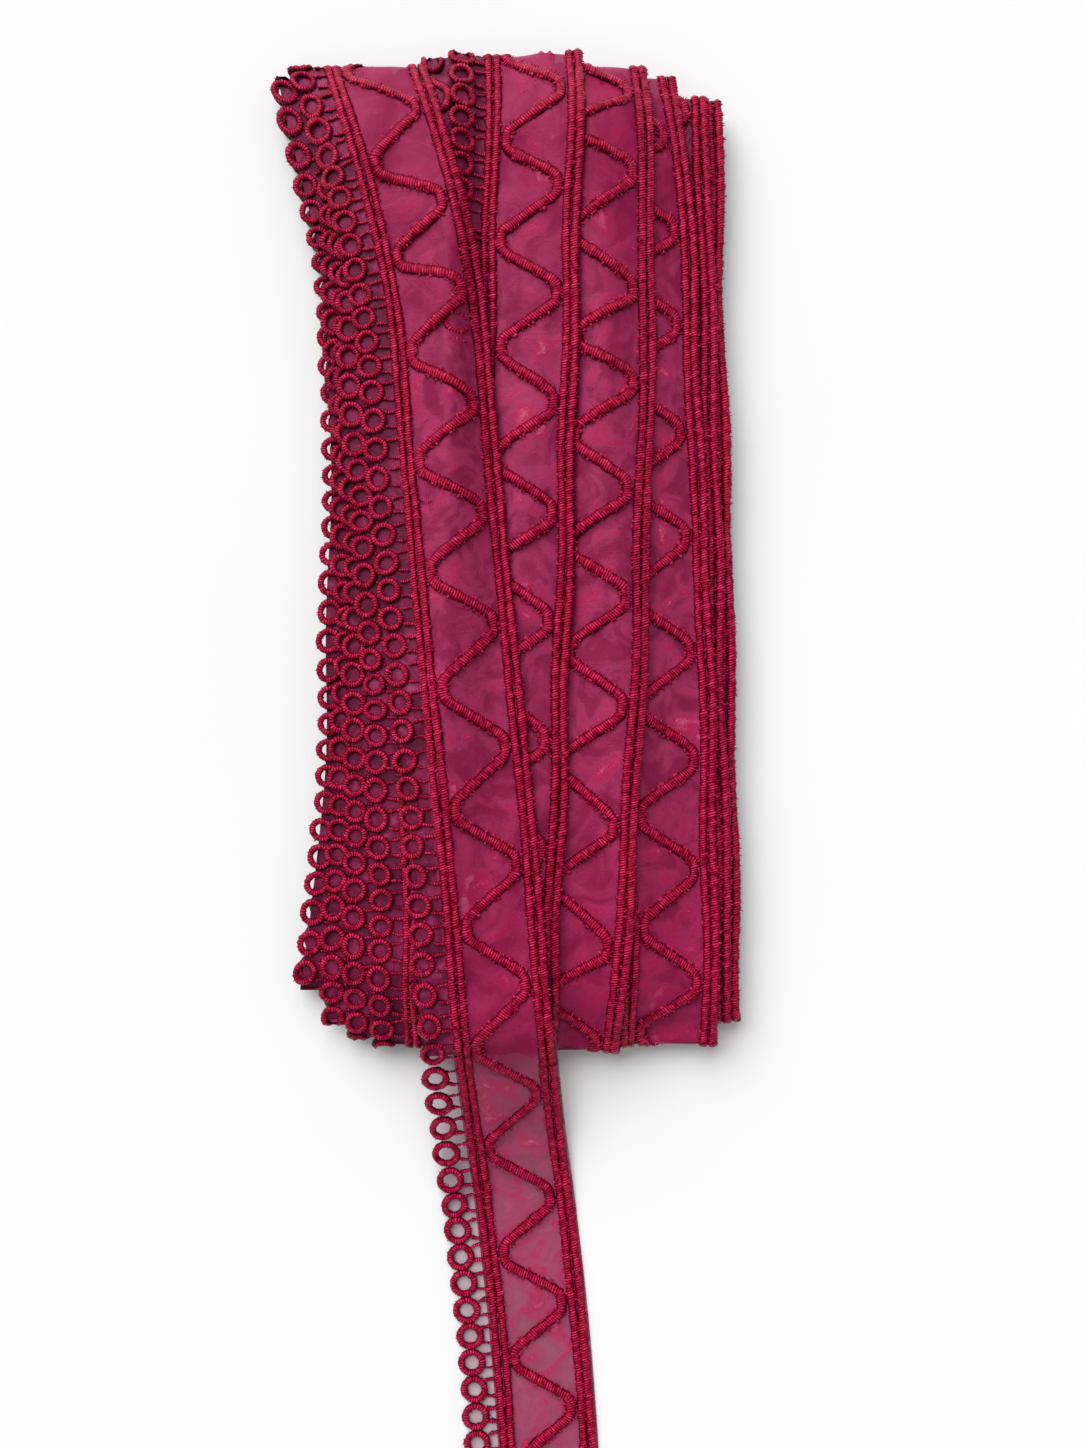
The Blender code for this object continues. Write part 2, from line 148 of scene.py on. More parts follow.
# The turns, the lowest first: the y of the two folds of its front, the y of one right-hand
# corner of its zigzag, the length of one zigzag repeat, the turn whose lower fold its back
# runs to, how finely it is stitched here, the y above which its rings show (HIDDEN for none
# and SHOWN for all), and the x of its middle at each section.
Turn = namedtuple("Turn", "low high corner repeat below work rings_show middles")
SECTIONS_Y = (-135.0, -80.0, -30.0, 20.0, 70.0, 105.0, 135.0)
HIDDEN = 999.0
SHOWN = -999.0
TURNS = {
    "core_left": Turn(
        -126.0, 120.0, 0.0, 30.0, "middle_left", "coarse", HIDDEN,
        (-24.0, -22.0, -20.0, -18.0, -20.0, -24.0, -28.0),
    ),
    "core_right": Turn(
        -127.0, 119.0, 4.0, 30.0, "right_high", "coarse", HIDDEN,
        (22.0, 24.0, 24.0, 23.0, 22.0, 21.0, 20.0),
    ),
    "core_middle": Turn(
        -130.0, 124.0, 8.0, 30.0, "middle_right", "coarse", HIDDEN,
        (-4.0, -2.0, 0.0, 2.0, 1.0, 0.0, -2.0),
    ),
    "middle_low": Turn(
        -138.0, 130.0, 12.0, 30.0, "core_right", "coarse", HIDDEN,
        (12.0, 13.0, 12.0, 11.0, 10.0, 10.0, 10.0),
    ),
    "middle_left": Turn(
        -137.0, 136.4, 5.0, 30.0, "middle_top", "plain", HIDDEN,
        (-12.0, -12.5, -12.0, -11.0, -10.5, -10.0, -10.0),
    ),
    "right_low": Turn(
        -132.0, 124.5, 10.0, 30.0, "right_low", "fine", HIDDEN,
        (42.0, 41.0, 40.0, 39.0, 37.0, 37.0, 36.5),
    ),
    "left_low": Turn(
        -124.0, 131.4, 8.0, 31.0, "left_mid", "plain", SHOWN,
        (-49.0, -41.0, -39.5, -38.5, -40.0, -46.5, -53.5),
    ),
    "right_mid": Turn(
        -132.5, 125.6, 2.0, 30.0, "right_low", "fine", HIDDEN,
        (39.5, 38.5, 37.0, 36.0, 34.5, 33.5, 32.0),
    ),
    "left_mid": Turn(
        -133.0, 131.1, 14.0, 30.0, "left_high", "plain", SHOWN,
        (-39.0, -37.0, -35.0, -35.7, -38.0, -39.5, -38.0),
    ),
    "right_high": Turn(
        -139.0, 131.2, 2.5, 30.2, "right_mid", "fine", HIDDEN,
        (35.5, 35.0, 34.0, 31.5, 29.5, 27.5, 22.5),
    ),
    "left_high": Turn(
        -137.1, 131.9, 6.0, 30.0, "left_top", "plain", SHOWN,
        (-32.0, -32.0, -32.0, -33.0, -35.7, -36.5, -35.5),
    ),
    "middle_right": Turn(
        -140.5, 133.6, 14.3, 29.6, "middle_low", "fine", HIDDEN,
        (8.5, 12.5, 15.0, 16.5, 17.5, 17.0, 15.0),
    ),
    "left_top": Turn(
        -139.0, 132.3, 4.0, 30.0, "core_left", "plain", SHOWN,
        (-24.5, -25.0, -27.0, -31.0, -34.0, -34.0, -33.0),
    ),
    "middle_top": Turn(
        -141.0, 137.1, 8.4, 29.8, "core_middle", "fine", 40.0,
        (-10.0, -7.5, -6.0, -4.5, -3.5, -2.5, -2.5),
    ),
    "last": Turn(
        -127.4, 133.9, 8.1, 31.0, "left_low", "fine", SHOWN,
        (-10.5, -15.0, -20.0, -25.0, -30.0, -38.0, -47.5),
    ),
}
# Where the turns on show have their zigzag's right-hand corners, and every fourth ring where
# the rings don't keep step with it, as the photo's stretched and eased band has them
CORNERS = {
    "right_high": (113.4, 87.3, 61.2, 31.4, 2.5, -29.1, -59.4, -89.7, -121.4),
    "middle_right": (124.7, 101.5, 69.4, 43.7, 14.3, -14.9, -44.9, -77.5, -111.1),
    "middle_top": (124.2, 97.2, 68.5, 38.2, 8.4, -21.4, -53.8, -84.0, -114.0),
    "last": (
        119.6, 93.0, 68.7, 37.7, 8.1, -22.0, -55.2, -87.5, -119.8,
        -151.9, -183.4, -213.4, -243.4,
    ),
}
RING_MARKS = {
    "middle_top": (129.5, 103.5, 74.5, 44.5),
    "last": (
        121.8, 94.8, 68.2, 41.2, 9.7, -20.7, -51.4, -82.8, -114.4,
        -147.0, -178.6, -208.4, -238.5,
    ),
}
LAST_TURN = "last"
# The creases of a front are drawn from its turn's number, and those of its back from this more
BACK_SEED = 50
SHOWN_ON_TOP = ("right_high", "middle_right", "middle_top", LAST_TURN)
# The turn whose rings reach furthest to the left. Its holes are clear, with no net in them
OPEN_RINGS = "left_low"
# How far each turn sways from its line
TURN_SWAY = 0.42

# The loose end: y, x of its middle, and its height as a share of where it leaves the hank
LOOSE_PATH = (
    (-274.0, 2.9, 0.0),
    (-250.0, 1.4, 0.0),
    (-220.0, -1.0, 0.0),
    (-195.0, -3.8, 0.0),
    (-184.0, -5.1, 0.03),
    (-172.0, -6.7, 0.135),
    (-160.0, -8.1, 0.34),
    (-150.0, -9.1, 0.57),
    (-141.0, -9.9, 0.80),
    (-135.0, -10.4, 0.93),
    (-128.6, -11.0, 1.00),
)
# Between these two y its path turns into the last turn's
LOOSE_JOIN = (-127.8, -108.0)
# The loose end's own pieces reach up to this y, and the last turn's begin there
LOOSE_FROM_Y = -139.0

# How finely each kind of length is stitched, in millimetres and counts
WORK = {
    "fine": {"step": 0.5, "zigzag": 0.5, "sides": 8, "net": 1.3},
    "plain": {"step": 0.8, "zigzag": 1.4, "sides": 6, "net": 2.5},
    "coarse": {"step": 4.0, "zigzag": 2.2, "sides": 5, "net": 5.0},
}
RING_WORK = {
    # points around the ring, points around its thread
    "fine": (2 * RING_STITCHES, 7),
    "coarse": (12, 4),
}

# The sizes of the patterns: patches of even thread tension on the cords, clouds, wisps of painted sheen
# along crinkles and grain in the net, and the table's mottle. The weave of organza has a thread about
# every 0.2 mm, too fine to show, so its grain is drawn coarser
TENSION_PATCH = 1.5625
CLOUD = 11.111
SHEEN_WISP = 5.8824
GRAIN = 0.45455
MOTTLE = 111.11
# How high a stitch and a crease of the net look, in metres
STITCH_BUMP = 0.00055
NET_BUMP = 0.0008

# The camera looks straight down, and its scale is that of the top of the hank
CAMERA_XY = (5.1, -49.5)
CAMERA_ABOVE_TOP = 400.0
TOP_FACE = 24.0
MM_PER_PIXEL = 0.2686
PHOTO_HEIGHT = 1448
SENSOR = 24.0
# The light: an even white room, and a soft window to the upper left. Its spread is in degrees,
# and its place and the size of the table are in metres
ROOM_LIGHT = 0.4
WINDOW_LIGHT = 3.08
WINDOW_SPREAD = 56.0
WINDOW_AT = (-0.42, 0.80, 0.80)
TABLE_SIZE = 6.0


def smooth_line(places, values, at):
    """Read a smooth curve through (places, values) at the given places."""
    places = np.asarray(places, float)
    values = np.asarray(values, float)
    at = np.asarray(at, float)
    slopes = np.gradient(values, places)
    first = np.clip(np.searchsorted(places, at) - 1, 0, len(places) - 2)
    span = places[first + 1] - places[first]
    t = (at - places[first]) / span
    inner = np.clip(t, 0.0, 1.0)
    start = values[first] * (1 + 2 * inner) * (1 - inner) ** 2
    start_turn = slopes[first] * span * inner * (1 - inner) ** 2
    finish = values[first + 1] * inner ** 2 * (3 - 2 * inner)
    finish_turn = slopes[first + 1] * span * inner ** 2 * (inner - 1)
    beyond = np.where(t < 0, t * slopes[first], np.where(t > 1, (t - 1) * slopes[first + 1], 0.0))
    return start + start_turn + finish + finish_turn + beyond * span


def ease(t):
    """A smooth rise from 0 at 0 to 1 at 1."""
    t = np.clip(t, 0.0, 1.0)
    return t * t * (3 - 2 * t)


def soften(field, times):
    """Even out a height field by averaging each cell with its neighbours."""
    for _ in range(times):
        padded = np.pad(field, 1, mode="edge")
        across = padded[1:-1, :-2] + padded[1:-1, 2:]
        along = padded[:-2, 1:-1] + padded[2:, 1:-1]
        field = (2.0 * field + across + along) / 6.0
    return field


def front_middle(name, y):
    """The x of a front's middle, with the slight sway that each turn has of its own."""
    line = smooth_line(SECTIONS_Y, TURNS[name].middles, y)
    if name == LAST_TURN:
        return line
    number = list(TURNS).index(name)
    return line + TURN_SWAY * np.sin(np.asarray(y) / (9.0 + number % 4) + 2.1 * number)


def back_middle(name, y):
    """The x of a back's middle: it leads from its own upper fold to another turn's lower one."""
    own = front_middle(name, y)
    other = front_middle(TURNS[name].below, y)
    share = ease((SECTIONS_Y[-1] - y) / (SECTIONS_Y[-1] - SECTIONS_Y[0]))
    return own + (other - own) * share


def fullness_at(from_fold):
    """How far a turn has opened out at a distance from its fold: 0 at the fold, then 1."""
    return np.sqrt(1 - (1 - np.clip(from_fold / FOLD_ROUNDING, 0.0, 1.0)) ** 2)


class Heap:
    """The heights at which the turns lie on each other, over a grid seen from above."""

    def __init__(self):
        self.xs = np.arange(GRID_X[0], GRID_X[1], CELL_X)
        self.ys = np.arange(GRID_Y[0], GRID_Y[1], CELL_Y)
        self.x, self.y = np.meshgrid(self.xs, self.ys)
        self.middle = self.half_way()
        self.fronts = {}
        rounded = {}
        top = self.middle.copy()
        self.lying = np.zeros_like(top)
        for name, turn in TURNS.items():
            u = self.across(front_middle(name, self.ys))
            base = soften(top, SAG_CELLS)
            self.fronts[name] = base + NET_AT
            stitching = NET_LAYER - NET_AT + STITCH_RISE * self.stitched(u)
            inside = self.inside(u) & (self.y > turn.low) & (self.y < turn.high)
            top = np.where(inside, base + NET_AT + stitching, top)
            full = fullness_at(np.minimum(self.y - turn.low, turn.high - self.y))
            net = self.middle + (self.fronts[name] - self.middle) * full
            rounded[name] = np.where(inside, net, np.inf)
            if name != LAST_TURN:
                self.lying = np.where(inside, net + stitching, self.lying)
        self.lying = soften(self.lying, SAG_CELLS // 2)
        self.covers = self.find_covers(rounded)
        self.backs = self.lay_backs()

    def across(self, middle):
        """The u of every cell, for a turn with this middle."""
        lean = np.arctan(np.gradient(middle, self.ys))
        return (self.x - middle[:, None]) * np.cos(lean)[:, None] + BAND_WIDTH / 2

    def inside(self, u):
        """Which cells lie on the band."""
        return (u > 0) & (u < BAND_WIDTH)

    def stitched(self, u):
        """Where the rings and cords make a layer thicker, averaged along it."""
        thick = np.clip(1 - np.abs(u - RING_ROW) / RING_ROW, 0, 1) * RING_SHARE
        for middle, width, _, _ in CORDS:
            thick = np.maximum(thick, np.clip(CORD_SPREAD - np.abs(u - middle) / width, 0, 1))
        return thick

    def half_way(self):
        """The height at which the backs end and the fronts begin."""
        depth = np.zeros_like(self.x)
        for name in TURNS:
            depth += BACK_LAYER * self.inside(self.across(front_middle(name, self.ys)))
        return soften(np.maximum(depth, BACK_LEAST), MIDDLE_CELLS)

    def find_covers(self, rounded):
        """For each turn, the height of the lowest net that lies on it, cell by cell."""
        covers = {}
        lowest = np.full_like(self.x, np.inf)
        for name in reversed(TURNS):
            covers[name] = lowest
            lowest = np.minimum(lowest, rounded[name])
        return covers

    def lay_backs(self):
        """The backs, the outermost turn's on the surface and the others on it in turn."""
        laid = {}
        top = np.zeros_like(self.x)
        for name in reversed(TURNS):
            u = self.across(back_middle(name, self.ys))
            base = soften(top, SAG_CELLS)
            laid[name] = base
            top = np.where(self.inside(u), base + BACK_LAYER, top)
        reach = np.clip(self.middle / np.maximum(soften(top, SAG_CELLS), 0.5), *BACK_LOFT)
        return {name: base * reach + BACK_NET_AT for name, base in laid.items()}

    def read(self, field, x, y):
        """Read a height field between its cells."""
        col = np.clip((x - self.xs[0]) / CELL_X, 0, len(self.xs) - 1.001)
        row = np.clip((y - self.ys[0]) / CELL_Y, 0, len(self.ys) - 1.001)
        c = col.astype(int)
        r = row.astype(int)
        fc = col - c
        fr = row - r
        near = field[r, c] * (1 - fc) + field[r, c + 1] * fc
        far = field[r + 1, c] * (1 - fc) + field[r + 1, c + 1] * fc
        return near * (1 - fr) + far * fr

    def read_cell(self, field, x, y):
        """Read a height field at the nearest cell, for fields with steps in them."""
        col = np.clip(np.rint((x - self.xs[0]) / CELL_X), 0, len(self.xs) - 1).astype(int)
        row = np.clip(np.rint((y - self.ys[0]) / CELL_Y), 0, len(self.ys) - 1).astype(int)
        return field[row, col]


class Band:
    """A length of the band as it lies, with a place for every (u, v, w)."""

    COLUMN = 2.0
    COLUMNS = np.arange(0.0, BAND_WIDTH + 0.1, COLUMN)

    def __init__(self, points, heap, name):
        self.points = points
        self.heap = heap
        self.cover = heap.covers[name]
        mid = len(self.COLUMNS) // 2
        steps = np.linalg.norm(np.diff(points[:, mid], axis=0), axis=1)
        self.runs = np.concatenate(([0.0], np.cumsum(steps)))
        self.length = float(self.runs[-1])
        self.turn = int(np.argmax(points[:, mid, 1]))
        self.fold = float(self.runs[self.turn])
        along = np.gradient(points, axis=0)
        across = np.gradient(points, axis=1)
        outward = np.cross(across, along)
        self.outward = outward / np.linalg.norm(outward, axis=2, keepdims=True)

    def place(self, u, v, w):
        """Where (u, v, w) lies, kept below the turn that covers it and above the surface."""
        station = np.interp(v, self.runs, np.arange(len(self.runs)))
        i = np.clip(station.astype(int), 0, len(self.runs) - 2)
        fi = (station - i)[:, None]
        column = u / self.COLUMN
        j = np.clip(column.astype(int), 0, len(self.COLUMNS) - 2)
        fj = (column - j)[:, None]

        def between(field):
            near = field[i, j] * (1 - fj) + field[i, j + 1] * fj
            far = field[i + 1, j] * (1 - fj) + field[i + 1, j + 1] * fj
            return near * (1 - fi) + far * fi

        put = between(self.points) + between(self.outward) * w[:, None]
        cover = self.heap.read_cell(self.cover, put[:, 0], put[:, 1]) - UNDER_A_COVER
        front = v < self.fold
        put[:, 2] = np.where(front, np.minimum(put[:, 2], cover), put[:, 2])
        put[:, 2] = np.maximum(put[:, 2], FLOOR_GAP)
        return put

    def run_at(self, y, u=BAND_WIDTH / 2):
        """The v at which the front of the band reaches y, at a place across it."""
        ys = self.points[: self.turn + 1, round(u / self.COLUMN), 1]
        start = int(np.argmin(ys))
        return float(np.interp(y, ys[start:], self.runs[start: self.turn + 1]))


def fold_angles(first, last, count):
    """Stations around part of a fold: how far each is from the fold line, and how full."""
    angles = np.radians(np.linspace(first, last, count))
    return FOLD_ROUNDING * (1 - np.sin(angles)), np.cos(angles)


def lay_turn(heap, name):
    """One turn: its front from the lower fold to the upper one, and its back down again."""
    low = TURNS[name].low
    high = TURNS[name].high
    next_low = TURNS[TURNS[name].below].low
    under, under_full = fold_angles(*UNDER_FOLD)
    opening, opening_full = fold_angles(*ROUND_FOLD)
    closing = opening[::-1]
    closing_full = opening_full[::-1]
    flat_from = FOLD_ROUNDING + STATION / 2
    flat_to = FOLD_ROUNDING + STATION / 4
    front_flat = np.arange(low + flat_from, high - flat_to, STATION)
    back_flat = np.arange(high - flat_from, next_low + flat_to, -STATION)
    start_y = np.concatenate((low + under, low + opening))
    start_full = np.concatenate((-under_full, opening_full))
    if name == LAST_TURN:
        start_y = np.arange(LOOSE_PATH[0][0], low + FOLD_ROUNDING, LOOSE_STATION)
        start_full = np.ones_like(start_y)
        low = -np.inf
    front_y = np.concatenate((start_y, front_flat, high - closing))
    front_full = np.concatenate((start_full, np.ones_like(front_flat), closing_full))
    back_y = np.concatenate((high - opening[1:], back_flat, next_low + closing))
    back_full = np.concatenate((opening_full[1:], np.ones_like(back_flat), closing_full))

    def lay(y, full, middle_at, field, from_fold):
        """Points across the band at each station, as high as a fold or a height field says."""
        middle = middle_at(y)
        lean = np.arctan((middle_at(y + 1.0) - middle_at(y - 1.0)) / 2.0)[:, None]
        square = ease((from_fold - FOLD_STRAIGHT) / FOLD_SQUARE)[:, None]
        off = Band.COLUMNS[None, :] - BAND_WIDTH / 2
        x = middle[:, None] + off * (np.cos(lean) + np.sin(lean) ** 2 / np.cos(lean) * (1 - square))
        ys = y[:, None] - off * np.sin(lean) * square
        half = heap.read(heap.middle, x, ys)
        out = np.where(full[:, None] >= 0, heap.read(field, x, ys) - half, half - UNDER_FOLD_AT)
        return np.stack((x, ys, half + out * full[:, None]), axis=2)

    front = lay(
        front_y,
        front_full,
        loose_middle if name == LAST_TURN else lambda y: front_middle(name, y),
        heap.fronts[name],
        np.minimum(front_y - low, high - front_y),
    )
    if name == LAST_TURN:
        front = lay_loose_end(heap, front, front_y)
    back = lay(
        back_y,
        back_full,
        lambda y: back_middle(name, y),
        heap.backs[name],
        np.minimum(back_y - next_low, high - back_y),
    )
    return Band(np.concatenate((front, back)), heap, name)


def loose_middle(y):
    """The x of the last turn's middle, and on along the loose end."""
    path = np.array(LOOSE_PATH)
    off_hank = smooth_line(path[:, 0], path[:, 1], y)
    on_hank = smooth_line(SECTIONS_Y, TURNS[LAST_TURN].middles, y)
    share = ease((y - LOOSE_JOIN[0]) / (LOOSE_JOIN[1] - LOOSE_JOIN[0]))
    return off_hank + (on_hank - off_hank) * share


def lay_loose_end(heap, front, y):
    """Carry the start of the last turn over the other turns' folds and down to the surface."""
    path = np.array(LOOSE_PATH)
    share = np.clip(smooth_line(path[:, 0], path[:, 2], y), 0.0, 1.0)
    share = np.where(y > path[-1, 0], 1.0, share)
    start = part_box("loose_end")[1].z / MM - NET_LAYER
    dropped = (start * share + THREAD_LIFT)[:, None]
    over = heap.read(heap.lying, front[:, :, 0], front[:, :, 1]) + THREAD_LIFT
    over = np.where(front[:, :, 1] > GRID_Y[0] + 2, over, 0.0)
    carried = np.maximum(dropped, over)
    blend = ease((y - LOOSE_JOIN[0]) / (LOOSE_JOIN[1] - LOOSE_JOIN[0]))[:, None]
    front[:, :, 2] = carried * (1 - blend) + np.maximum(front[:, :, 2], over * (y < 0)[:, None]) * blend
    return front


class Piece:
    """A mesh that gathers many stitched lengths, with (along, around) in its UV map."""

    def __init__(self, name):
        self.name = name
        self.points = []
        self.faces = []
        self.corners = []
        self.count = 0

    def add(self, points, faces, corners):
        """Add one length: its points, its faces, and the UV of each corner of each face."""
        self.points.append(points)
        self.faces.extend((faces + self.count).tolist())
        self.corners.append(corners.reshape(-1, 2))
        self.count += len(points)

    def make(self, material, node, slot):
        """Build the mesh and hide the part of the model that it replaces."""
        mesh = bpy.data.meshes.new(self.name)
        points = np.concatenate(self.points) * MM
        mesh.from_pydata(points.tolist(), [], self.faces)
        layer = mesh.uv_layers.new(name="stitches")
        layer.data.foreach_set("uv", np.concatenate(self.corners).ravel())
        mesh.shade_smooth()
        mesh.materials.append(material)
        thing = bpy.data.objects.new(self.name, mesh)
        bpy.context.scene.collection.objects.link(thing)
        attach(thing, "root")
        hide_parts(node)
        return thing


def wrapped_faces(count, sides, closed=False):
    """Quads over count rings of sides points, and each corner's (ring, side) numbers."""
    rings = np.arange(count if closed else count - 1)
    i, j = np.meshgrid(rings, np.arange(sides), indexing="ij")
    i = i.ravel()
    j = j.ravel()
    corner_i = np.stack((i, i, i + 1, i + 1), axis=1)
    corner_j = np.stack((j, j + 1, j + 1, j), axis=1)
    faces = (corner_i % count) * sides + corner_j % sides
    return faces, np.stack((corner_i, corner_j), axis=2).astype(float)


def grid_faces(rows, columns):
    """Quads over a grid of points, and the row and column of each corner."""
    i, j = np.meshgrid(np.arange(rows - 1), np.arange(columns - 1), indexing="ij")
    i = i.ravel()
    j = j.ravel()
    corner_i = np.stack((i, i, i + 1, i + 1), axis=1)
    corner_j = np.stack((j, j + 1, j + 1, j), axis=1)
    return corner_i * columns + corner_j, corner_i, corner_j


def stitch_cord(piece, band, u, v, width, rise, sides, uneven, lean=0.0, cut_end=False):
    """A satin cord along (u, v): a flattened tube whose stitches ridge it one by one."""
    step = float(np.hypot(np.diff(u), np.diff(v)).mean())
    ahead_u = np.gradient(u)
    ahead_v = np.gradient(v)
    size = np.hypot(ahead_u, ahead_v)
    ahead_u = (ahead_u / size)[:, None]
    ahead_v = (ahead_v / size)[:, None]
    count = len(u)
    # Each stitch differs a little by itself, and more in runs of five
    thick = 1 + rng.normal(0, uneven * 0.7, count)
    thick += np.convolve(rng.normal(0, uneven, count + 4), np.ones(5) / 3.5, mode="valid")
    if cut_end:
        thick[0] *= CUT_END
    angle = 2 * np.pi * np.arange(sides) / sides - np.pi / 2
    off = width / 2 * thick[:, None] * np.cos(angle)[None, :]
    slip = lean * np.cos(angle)[None, :]
    up = THREAD_LIFT + rise / 2 * thick[:, None] * np.sin(angle)[None, :]
    us = u[:, None] + ahead_v * off + ahead_u * slip
    vs = v[:, None] - ahead_u * off + ahead_v * slip
    faces, corners = wrapped_faces(count, sides)
    corners[:, :, 0] *= step
    corners[:, :, 1] /= sides
    piece.add(band.place(us.ravel(), vs.ravel(), up.ravel()), faces, corners)


def add_spikes(piece, band, foot_u, foot_v, way_u, way_v, thick, tall):
    """Short pointed thread ends, each from a foot on the net along a way."""
    count = len(foot_u)
    size = np.hypot(way_u, way_v)
    side_u = way_v / size * thick / 2
    side_v = -way_u / size * thick / 2
    low = np.full(count, THREAD_LIFT - 0.1)
    corners = [
        band.place(foot_u + side_u, foot_v + side_v, low),
        band.place(foot_u - side_u, foot_v - side_v, low),
        band.place(foot_u, foot_v, low + thick),
        band.place(foot_u + way_u, foot_v + way_v, THREAD_LIFT + tall),
    ]
    points = np.stack(corners, axis=1).reshape(-1, 3)
    shape = np.array([[0, 1, 3], [1, 2, 3], [2, 0, 3], [0, 2, 1]])
    faces = (4 * np.arange(count)[:, None, None] + shape[None]).reshape(-1, 3)
    # Each end takes its colour from the middle of a stitch, on a cord's crown, where the satin's
    # painted highlight lies
    painted_highlight_uv = (STITCH / 2, 0.5)
    piece.add(points, faces, np.tile(painted_highlight_uv, (len(faces), 3, 1)))


def fray_edges(piece, band, u, v, width, spacing, longest):
    """Thread ends that stand out at both edges of a satin line."""
    runs = np.concatenate(([0.0], np.cumsum(np.hypot(np.diff(u), np.diff(v)))))
    count = int(runs[-1] / spacing)
    for side in (-1, 1):
        at = np.sort(rng.uniform(0.5, runs[-1] - 0.5, count))
        pu = np.interp(at, runs, u)
        pv = np.interp(at, runs, v)
        ahead_u = np.interp(at + 0.2, runs, u) - np.interp(at - 0.2, runs, u)
        ahead_v = np.interp(at + 0.2, runs, v) - np.interp(at - 0.2, runs, v)
        size = np.hypot(ahead_u, ahead_v)
        out_u = ahead_v / size * side
        out_v = -ahead_u / size * side
        foot = width / 2 - FRAY_ROOT
        reach = FRAY_ROOT + longest * rng.uniform(0.25, 1.0, count)
        slant = rng.normal(0.1, 0.3, count)
        add_spikes(
            piece,
            band,
            pu + out_u * foot,
            pv + out_v * foot,
            out_u * reach + ahead_u / size * slant,
            out_v * reach + ahead_v / size * slant,
            rng.uniform(*FRAY_THICK, count),
            rng.uniform(*FRAY_TALL, count),
        )


def stitch_rings(piece, frays, band, along, work, ring_size):
    """A row of eyelet rings, each closely wound with radial stitches."""
    segments, sides = RING_WORK[work]
    outer, thread = ring_size
    half_way = (outer - thread) / 2
    turn = 2 * np.pi * np.arange(segments) / segments
    angle = 2 * np.pi * np.arange(sides) / sides - np.pi / 2
    faces, corners = wrapped_faces(segments, sides, closed=True)
    corners[:, :, 0] *= 2 * np.pi * half_way / segments
    corners[:, :, 1] /= sides
    uneven = 0.07 if work == "fine" else 0.0
    # No two rings are quite alike: each is a little oval, larger or smaller, tilted and moved
    for v in along:
        around = turn + rng.uniform(0, 2 * np.pi)
        oval = 1 + rng.uniform(0, 0.06) * np.cos(2 * around + rng.uniform(0, 6))
        ring = half_way * oval * rng.uniform(0.97, 1.03)
        thick = 1 + rng.normal(0, uneven, segments)
        off = thread / 2 * thick[:, None] * np.cos(angle)[None, :]
        tilt = rng.normal(0, 0.07)
        rise = THREAD_LIFT + abs(tilt) * half_way + tilt * ring * np.cos(around)
        up = rise[:, None] + thread * 0.45 * thick[:, None] * np.sin(angle)[None, :]
        reach = ring[:, None] + off
        at_u = RING_ROW + rng.normal(0, 0.12)
        at_v = v + rng.normal(0, 0.12)
        us = at_u + reach * np.cos(around)[:, None]
        vs = at_v + reach * np.sin(around)[:, None]
        piece.add(band.place(us.ravel(), vs.ravel(), up.ravel()), faces, corners)
        if work == "fine":
            fray_ring(frays, band, at_u, at_v, half_way, thread)


def fray_ring(piece, band, at_u, at_v, half_way, thread):
    """Thread ends around a ring, most of them outward and some into its hole."""
    count = RING_FRAYS
    around = rng.uniform(0, 2 * np.pi, count)
    out = np.where(np.arange(count) < RING_FRAYS_INWARD, -1.0, 1.0)
    foot = half_way + out * (thread / 2 - FRAY_ROOT)
    reach = out * (FRAY_ROOT + rng.uniform(0.1, 0.6, count))
    lean = around + rng.normal(0, 0.4, count)
    add_spikes(
        piece,
        band,
        at_u + foot * np.cos(around),
        at_v + foot * np.sin(around),
        reach * np.cos(lean),
        reach * np.sin(lean),
        rng.uniform(*FRAY_THICK, count),
        rng.uniform(*FRAY_TALL, count),
    )


def stitch_bars(piece, band, along):
    """Two short beaded bars that tie each ring to the first cord."""
    u = np.linspace(*BAR_REACH, BAR_POINTS)
    bow = np.sin(np.linspace(0, np.pi, BAR_POINTS))
    splay = np.linspace(0.0, 0.4, BAR_POINTS)
    for v in along:
        for way in (-1, 1):
            bend = rng.normal(0, 0.25) * bow
            vs = v + way * (BAR_SPREAD + rng.normal(0, 0.2)) + bend + splay * way
            stitch_cord(piece, band, u, vs, BAR_WIDTH, BAR_WIDTH, sides=5, uneven=0.3)


def repeats_along(band, marks, repeat, u):
    """The v of each mark, which are given as y on the front, and on at even repeats."""
    found = sorted(band.run_at(y, u) for y in marks)
    before = np.arange(found[0] - repeat, -2 * repeat, -repeat)[::-1]
    after = np.arange(found[-1] + repeat, band.length + 2 * repeat, repeat)
    return np.concatenate((before, found, after))


